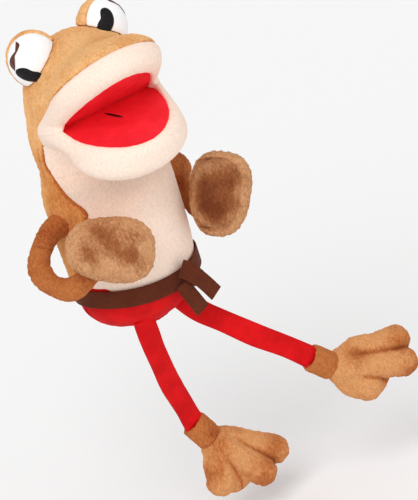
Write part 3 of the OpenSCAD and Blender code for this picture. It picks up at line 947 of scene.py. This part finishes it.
def curve_through(points, steps=8):
    """A smooth line through points, by Catmull and Rom's rule."""
    points = np.array(points, float)
    ends = np.concatenate([[2 * points[0] - points[1]], points, [2 * points[-1] - points[-2]]])
    line = []
    for i in range(len(points) - 1):
        p0, p1, p2, p3 = ends[i:i + 4]
        for t in np.arange(steps) / steps:
            line.append(0.5 * (2 * p1 + (p2 - p0) * t + (2 * p0 - 5 * p1 + 4 * p2 - p3) * t * t
                               + (3 * p1 - p0 - 3 * p2 + p3) * t**3))
    line.append(points[-1])
    return np.array(line)


def soft_step(t):
    t = np.clip(t, 0, 1)
    return t * t * (3 - 2 * t)


def hand_turn(side):
    return axes(HAND[side]["along"], HAND[side]["face"])


def hand_middle(side):
    return middle(f"hand_stuffing_{side}")


def pad_form(q, a, b, c, corner=2.5, egg=0.1):
    """A flat stuffed pad: half length, half width and half thickness."""
    x, y = np.abs(q[:, 0]) / a, np.abs(q[:, 1]) / (b * (1 + egg * q[:, 0] / a))
    r = (x**corner + y**corner + 1e-9) ** (1 / corner)
    k = np.sqrt(r**2 + (np.abs(q[:, 2]) / c) ** 2.3)
    return (k - 1) * 0.6 * (b + c) / 2, r


def hand_field(side):
    turn, centre, size = hand_turn(side), hand_middle(side), HAND[side]["size"]

    def field(p):
        q = (p - centre) @ turn.T
        d, r = pad_form(q, *size)
        if side == "right":
            return d + groove(q[:, 2] + 2, 1.5, 1.2)
        shifted = np.stack([q[:, 0], q[:, 1] - 5, q[:, 2]], axis=1)
        ring = pad_form(shifted, *size)[1]
        return d + np.where(q[:, 2] > 0, groove((ring - 0.80) * size[1], 2.2, 2.6), 0)
    return field


def make_arms():
    for i, side in enumerate(SIDES):
        line = curve_through(ARM_LINE[side], 6)
        radii = ARM_R + 0.8 * np.sin(np.arange(len(line)) * 0.45)
        shoulder, elbow, wrist = (JOINT[f"{name}_{side}"] for name in ("shoulder", "elbow", "wrist"))
        half_upper, half_fore = (shoulder + elbow) / 2, (elbow + wrist) / 2
        upper_way, fore_way = unit(elbow - shoulder), unit(wrist - elbow)
        elbow_way = unit(upper_way + fore_way)
        hand_form = hand_field(side)

        def arm(p):
            return rope(p, line, radii, 0.8)

        def first(p):
            return flush(arm(p), (p - half_upper) @ upper_way)

        def second(p):
            # a seam pinches the sleeve at the elbow
            pinched = arm(p) + groove((p - elbow) @ elbow_way, 1.7, 1.6)
            return flush(pinched, -(p - half_upper) @ upper_way, (p - half_fore) @ fore_way)

        def third(p):
            return meet(flush(arm(p), -(p - half_fore) @ fore_way), 1.2 - hand_form(p), 1.5)

        low, high = line.min(0) - 18, line.max(0) + 18
        for name, field, a, b, pivot, way, nodes in (
            ("upper_arm_cloth", first, "torso", "upper_arm", shoulder, upper_way, [f"upper_arm_{side}"]),
            ("elbow_cloth", second, "upper_arm", "forearm", elbow, elbow_way, [f"forearm_{side}"]),
            ("wrist_cloth", third, "forearm", "hand", wrist, fore_way, []),
        ):
            # a bent sleeve can cross a cut twice, so only the part at its own joint is kept
            piece = skin(f"{name}_{side}", field, low, high, ARM, seed=41 + i, near=pivot)
            upper_body = a if a == "torso" else f"{a}_{side}"
            tear_free(piece, upper_body, f"{b}_{side}", pivot - 9 * way, pivot + 9 * way)
            stand_in(piece, "tan_plush", *nodes, fill=0.8)
        centre = hand_middle(side)
        low, high = centre - 62, centre + 62
        hand = skin(f"hand_pad_{side}", hand_form, low, high, HAND_PLUSH, 1.3, 0.45, 3.6, seed=45 + i)
        q = (points_of(hand) - centre) @ hand_turn(side).T
        _, r = pad_form(q, *HAND[side]["size"])
        # Painted shade over the middle of each hand's front face, leaving a lighter rim; its strength varies
        # at random.
        face = np.clip(q[:, 2] / 6, 0, 1)
        patches = HAND[side]["tone_and_shade"] + 0.3 * waves(points_of(hand), 16, 5)
        mark(hand, "painted_shade_and_tone", face * soft_step((0.95 - r) / 0.5) * patches)
        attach(hand, f"hand_{side}")
        stand_in(hand, "tan_plush", f"hand_palm_{side}", f"hand_back_{side}", fill=0.9)


# ---- Trousers, hem and belt ----
HEM_T = math.radians(25)
hem_axis = np.array([0, math.sin(HEM_T), -math.cos(HEM_T)])
hem_centre = -WAIST
OPENING_R = frame["record"]["mounts"][0]["dims"]["r_mm"]
HEM_LENGTH = frame["record"]["mounts"][0]["dims"]["length_mm"]


def seat_form(p):
    bowl = ball(p, (0, 1, 5), (70, 55, 46))
    return np.where(p[:, 2] > 5, column_form(p, body_table), bowl)


def trousers_field(front):
    way = 1 if front else -1

    def field(p):
        form = seat_form(p)
        q = p - hem_centre
        out = q @ hem_axis
        away = np.linalg.norm(q - out[:, None] * hem_axis, axis=1)
        cuts = [out + 1, OPENING_R + 3.4 - away, way * p[:, 1] + SEAM_GAP]
        return flush(shell(form, cuts, 2.5, 3.2), p[:, 2] - waist_line(p))
    return field


def hem_field(p):
    q = p - hem_centre
    out = q @ hem_axis
    away = np.linalg.norm(q - out[:, None] * hem_axis, axis=1)
    section = np.stack([np.abs(away - OPENING_R - 2), np.abs(out + HEM_LENGTH / 2 - 0.5)], axis=1)
    over = np.maximum(section - np.array([0.2, HEM_LENGTH / 2 - 1.8]), 0)
    pucker = 0.5 * np.sin(np.arctan2(q[:, 1], q[:, 0]) * 44)
    return np.linalg.norm(over, axis=1) - 1.9 - 0.3 * pucker


def along_line(line, face):
    """At each point of a tape's line, the ways across and out of it, and the length so far."""
    way = np.gradient(line, axis=0)
    way /= np.linalg.norm(way, axis=1)[:, None]
    across = np.cross(way, face)
    across /= np.linalg.norm(across, axis=1)[:, None]
    run = np.concatenate([[0], np.cumsum(np.linalg.norm(np.diff(line, axis=0), axis=1))])
    return across, np.cross(across, way), run


TAPE_SHARP = 40
TAPE_THICK = 1.8
# the outline of a tape's section, as shares of its half width and half thickness
TAPE_SECTION = [(-1, -0.6), (-0.94, -1), (-0.5, -1), (0, -1), (0.5, -1), (0.94, -1), (1, -0.6)]
TAPE_SECTION += [(-a, -b) for a, b in TAPE_SECTION]


def strip(name, line, faces_way, width, body):
    """A tape of webbing along a line, with the way that it faces at each point."""
    line = np.array(line, float)
    across, out, run = along_line(line, np.array([unit(v) for v in faces_way]))
    points, alongs, overs = [], [], []
    for i in range(len(line)):
        for a, b in TAPE_SECTION:
            points.append(line[i] + across[i] * a * width / 2 + out[i] * b * TAPE_THICK / 2)
            alongs.append(run[i])
            overs.append(a * width / 2)
    n = len(TAPE_SECTION)
    faces = [(i * n + j, i * n + (j + 1) % n, (i + 1) * n + (j + 1) % n, (i + 1) * n + j)
             for i in range(len(line) - 1) for j in range(n)]
    faces.append(tuple(range(n))[::-1])
    faces.append(tuple((len(line) - 1) * n + j for j in range(n)))
    piece = mesh_object(name, np.array(points), faces, WEBBING, TAPE_SHARP)
    mark(piece, "along", alongs)
    mark(piece, "over", overs)
    if body:
        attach(piece, body)
    return piece


def on_body(x_share, z, out, front=True):
    """A point beside the body at a share of its half width, and the way that the body faces there."""
    table_z, (w, mid, fore, aft) = body_table
    w, d = np.interp(z, table_z, w) + out, np.interp(z, table_z, fore) + out
    t = math.acos(max(-1, min(1, x_share)))
    y = -d * math.sin(t) if front else d * math.sin(t)
    point = np.array([w * math.cos(t), y, z])
    return point, unit((point[0] / w**2, point[1] / d**2, 0))


def belt_height(x_share):
    """The belt dips at the front, more on the right."""
    return BELT_ABOVE_WAIST + 8 * x_share**2 - 4 * x_share


BELT_W = 20.5
TAIL_W = BELT_W - 2
BELT_OUT = 3.0
CROSS_T = 56


def make_trousers_and_belt():
    for name, front in (("trousers_front_cloth", True), ("trousers_back_cloth", False)):
        piece = skin(name, trousers_field(front), (-80, -66, -46), (80, 66, 36), RED, 1.6, 0.12, 7, seed=51)
        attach(piece, "torso")
        stand_in(piece, "red_cloth", "trousers_front" if front else "trousers_back")
    hem = skin("hem_roll", hem_field, hem_centre - 48, hem_centre + 48, RED, 1.3, 0.08, 6, seed=52)
    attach(hem, "torso")
    stand_in(hem, "red_cloth", "hand_opening_hem")

    line, ways = [], []
    start_t, end_t = -CROSS_T - 12, -CROSS_T + 372
    for t in np.linspace(start_t, end_t, 150):
        c, s = math.cos(math.radians(t)), math.sin(math.radians(t))
        overlap = np.clip((t - (end_t - 26)) / 20, 0, 1)
        point, way = on_body(c, belt_height(c), BELT_OUT + 2.4 * overlap, s < 0)
        line.append(point)
        ways.append(way)
    band = strip("belt_strap", line, ways, BELT_W, "torso")
    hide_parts("belt_band")
    for key, face, points in (
        ("lower", (0.1, -0.97, 0.1), [(24, -61, 4), (26, -63, -6), (30, -65, -18), (35, -66, -33)]),
        ("upper", (0.15, -0.97, 0.15), [(37, -63, 14), (43, -64.5, 3), (49, -65.5, -8), (56, -66, -22)]),
    ):
        line = curve_through(points, 10)
        tail = strip(f"belt_end_{key}", line, [face] * len(line), TAIL_W, None)
        pivot = JOINT[f"belt_tail_{key}_swing"]
        tear_free(tail, "torso", f"tail_{key}", line[0], pivot + np.array([0, 0, -5]))
        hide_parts(f"belt_tail_{key}")
    turn_over = curve_through([(27, -62.5, 22), (32, -63, 17), (38, -63.4, 10), (43, -64, 2)], 8)
    cross = strip("belt_cross", turn_over, [(0.2, -0.97, 0.12)] * len(turn_over), BELT_W, "torso")
    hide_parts("belt_crossover")


# ---- Legs and feet ----
LEG_LINE = {
    "right": [
        (-21, -30, -25), (-19, -27, -55), (-14, -20, -84), (-6, -8, -118), (6, 5, -155), (16, 15, -188),
        (18, 15, -192),
    ],
    "left": [
        (28, -20, -20), (45, -28, -47), (66, -37, -69), (93, -46, -97), (120, -56, -122), (142, -64, -145),
        (146, -64, -149),
    ],
}
LEG_HALF = (12.6, 5.6)
FOOT = {
    "right": dict(along=(0.53, 0, -0.848), toes=((77, 34), (72, 4), (38, -32))),
    "left": dict(along=(0.942, 0, -0.336), toes=((81, 22), (84, -2), (42, -25))),
}
FOOT_FACE = (0, -1, 0.15)
HEEL_PAST_ANKLE = {"right": (13, -2, -25), "left": (20, 0, -21)}


def make_leg(side):
    line = curve_through(LEG_LINE[side], 14)
    across, out, run = along_line(line, np.array([0, -1, 0.1]))
    steps = 40
    rings = []
    for i in range(len(line)):
        half_w = LEG_HALF[0] * (1 + 0.03 * math.sin(run[i] / 13))
        half_t = LEG_HALF[1] * (1 + 0.08 * math.sin(run[i] / 9 + 1))
        ring = []
        for j in range(steps):
            t = 2 * math.pi * j / steps
            c, s = math.cos(t), math.sin(t)
            x = half_w * math.copysign(abs(c) ** 0.75, c)
            y = half_t * math.copysign(abs(s) ** 0.8, s)
            ring.append(line[i] + across[i] * x + out[i] * y)
        rings.append(ring)
    rings = np.array(rings)
    knee = int(np.argmin(np.linalg.norm(line - JOINT[f"knee_{side}"], axis=1)))
    half_way = knee // 2
    for name, first, last, a, b, pivot in (
        ("thigh_cloth", 0, half_way + 8, "torso", f"thigh_{side}", JOINT[f"hip_{side}"]),
        ("knee_cloth", half_way + 8, len(line) - 1, f"thigh_{side}", f"shank_{side}", JOINT[f"knee_{side}"]),
    ):
        part = rings[first:last + 1]
        m = len(part)
        faces = []
        for i in range(m - 1):
            for j in range(steps):
                a0, a1 = i * steps + j, i * steps + (j + 1) % steps
                faces.append((a0, a0 + steps, a1 + steps, a1))
        faces.append(tuple(range(steps)))
        faces.append(tuple((m - 1) * steps + j for j in range(steps))[::-1])
        points = part.reshape(-1, 3)
        crease = waves(points, 9, 61)
        points = points + 0.35 * crease[:, None] * np.array([0, -1, 0])
        piece = mesh_object(f"{name}_{side}", points, faces, RED, TAPE_SHARP)
        way_here = unit(JOINT[f"ankle_{side}"] - JOINT[f"hip_{side}"])
        tear_free(piece, a, b, pivot - 10 * way_here, pivot + 10 * way_here)
        stand_in(piece, "red_cloth", b, fill=0.3)


TOE_LIFT = (-3, 8, 1)


def make_foot(side):
    ankle = JOINT[f"ankle_{side}"]
    heel = ankle + np.array(HEEL_PAST_ANKLE[side])
    turn = axes(FOOT[side]["along"], FOOT_FACE)
    toes = FOOT[side]["toes"]
    cuff_way = unit(heel - ankle)
    cuff_turn = axes(cuff_way, FOOT_FACE)

    def toe_fields(q):
        return [
            rod(q, (14, y * 0.3, lift * 0.8), (x, y, lift), 14, 16.5) for (x, y), lift in zip(toes, TOE_LIFT)
        ]

    def foot_field(p):
        q = (p - heel) @ turn.T
        d = ball(q, (9, 0, 0), (19, 18, 14))
        web = pad_form(q - np.array([36, -4, -2]), 36, 36, 12, 2.2)[0]
        d = join(d, web, 5)
        for toe in toe_fields(q):
            d = join(d, toe, 2.2)
        return d

    def cuff_field(p):
        q = (p - ankle) @ cuff_turn.T
        length = float(np.linalg.norm(heel - ankle))
        across = np.sqrt((q[:, 1] / 1.22) ** 2 + q[:, 2] ** 2) - 13
        tube = meet(meet(across, -4 - q[:, 0], 4), q[:, 0] - length + 2, 3)
        return meet(tube, -np.maximum(across + 4, q[:, 0] - 8), 2)

    span = heel + np.array([[x, y, 0] for x, y in toes]) @ turn
    low, high = np.minimum(span.min(0), heel) - 24, np.maximum(span.max(0), heel) + 24
    foot = skin(f"foot_pad_{side}", foot_field, low, high, FOOT_PLUSH, 1.5, 0.4, 4, seed=71)
    q = (points_of(foot) - heel) @ turn.T
    tips = np.clip((np.linalg.norm(q[:, :2], axis=1) - 58) / 25, 0, 1)
    near = np.sort(np.stack(toe_fields(q), axis=1), axis=1)
    crease = np.exp(-(((near[:, 1] - near[:, 0]) / 3.5) ** 2)) * np.clip((q[:, 0] - 14) / 16, 0, 1)
    # Painted shade in the creases between the toes, darker towards the toe tips, with random tone.
    mark(foot, "painted_shade_and_tone", 0.3 * tips + 0.75 * crease + 0.18 * waves(points_of(foot), 20, 8))
    cuff = skin(f"ankle_cuff_cloth_{side}", cuff_field, ankle - 30, ankle + 42, ARM, 1.5, 0.3, 4, seed=72)
    for piece, nodes in ((foot, ("foot_upper", "foot_sole")), (cuff, ("ankle_cuff",))):
        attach(piece, f"foot_{side}")
        stand_in(piece, "tan_plush", *[f"{node}_{side}" for node in nodes], fill=0.8)


# ---- Camera, light and floor ----
AZIMUTH, ELEVATION = math.radians(-22), math.radians(22)
ROLL_COS, ROLL_SIN = 0.951, 0.309
CAMERA_DISTANCE = 12
VIEW_HEIGHT = 0.550
AIM_ACROSS, AIM_UP = 0.0837, 0.0121
SENSOR = 36


def make_camera():
    """Looks down at the puppet from its right, from far off, rolled to one side."""
    level = math.cos(ELEVATION)
    back = Vector((math.sin(AZIMUTH) * level, -math.cos(AZIMUTH) * level, math.sin(ELEVATION)))
    side = Vector((math.cos(AZIMUTH), math.sin(AZIMUTH), 0))
    up = back.cross(side)
    camera = add("camera", bpy.data.cameras.new("camera"))
    aim = Vector(WAIST * MM) + AIM_ACROSS * side + AIM_UP * up
    x = ROLL_COS * side - ROLL_SIN * up
    y = ROLL_SIN * side + ROLL_COS * up
    turn = Matrix((x, y, back)).transposed().to_4x4()
    camera.matrix_world = Matrix.Translation(aim + CAMERA_DISTANCE * back) @ turn
    camera.data.sensor_fit = "AUTO"
    camera.data.sensor_width = SENSOR
    camera.data.lens = SENSOR * CAMERA_DISTANCE / VIEW_HEIGHT
    camera.data.clip_end = 100
    bpy.context.scene.camera = camera


def sun(name, way, aim, softness, strength):
    """A large soft light that falls the same everywhere, from way."""
    light = bpy.data.lights.new(name, "SUN")
    light.angle, light.energy = math.radians(softness), strength
    lamp = add(name, light)
    lamp.location = aim + Vector(way)
    lamp.rotation_euler = (-Vector(way)).to_track_quat("-Z", "Y").to_euler()


FLOOR_HALF = 12
FLOOR_BELOW = 0.02


def make_studio():
    middle_of_it = Vector((0, -0.03, 0.1))
    sun("key", (-0.55, -0.75, 0.95), middle_of_it, 35, 1.3)
    sun("fill", (0.25, -1.0, 0.05), middle_of_it, 60, 0.55)
    world = bpy.data.worlds.new("studio")
    bpy.context.scene.world = world
    world.use_nodes = True
    background = world.node_tree.nodes["Background"]
    background.inputs["Color"].default_value = (1, 1, 1, 1)
    background.inputs["Strength"].default_value = 0.62
    z = cad_low[2] - FLOOR_BELOW
    mesh = bpy.data.meshes.new("floor")
    corners = [(x * FLOOR_HALF, y * FLOOR_HALF, z) for x, y in ((-1, -1), (1, -1), (1, 1), (-1, 1))]
    mesh.from_pydata(corners, [], [(0, 1, 2, 3)])
    mesh.materials.append(Nodes("pale_floor").finish((0.99, 0.99, 0.99, 1), None, 0.9))
    add("floor", mesh)
    bpy.context.scene.view_settings.view_transform = "Standard"


def dress_inside():
    """Parts that keep their frame shape and get their real finish."""
    for name, piece in frame["nodes"].items():
        if "pocket" in name or "lining" in name:
            piece.data.materials.clear()
            piece.data.materials.append(COTTON)


def drawn_in(name, share, shift, material, slot):
    """The frame's part with another size or place, so that it fits the soft cloth around it."""
    piece = frame["nodes"][name]
    mesh = piece.data
    flat = np.empty(len(mesh.vertices) * 3)
    mesh.vertices.foreach_get("co", flat)
    world = np.array(piece.matrix_world)
    points = (flat.reshape(-1, 3) @ world[:3, :3].T + world[:3, 3]) / MM - WAIST
    centre = (points.min(0) + points.max(0)) / 2
    points = centre + np.array(shift) + (points - centre) * np.array(share)
    inside = mesh_object(name + "_inside", points, [tuple(f.vertices) for f in mesh.polygons], material, 60)
    if name == "mouth_stitch":
        tear_free(inside, "skull", "jaw", *BITE)
    else:
        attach(inside, body_of(piece)[0])
    stand_in(inside, slot, name)


def fill_inside():
    """Loose fibre in each cover, the two stiff boards of the mouth and the black line along its floor."""
    for name in list(frame["nodes"]):
        if "stuffing" in name:
            shift = (0, 16, -26) if name == "head_stuffing" else (0, 0, 0)
            drawn_in(name, (0.6, 0.6, 0.6), shift, FILL, "stuffing")
        if "board" in name:
            drawn_in(name, (0.86, 1, 1), (0, 0, 0), BOARD, "mouth_board")
    drawn_in("mouth_stitch", (1.3, 1.15, 1), (-1, 0, 0.1), BLACK, "embroidery")


make_camera()
make_studio()
make_body()
make_head()
make_mouth()
make_eyes()
make_arms()
make_trousers_and_belt()
for leg_side in SIDES:
    make_leg(leg_side)
    make_foot(leg_side)
dress_inside()
fill_inside()
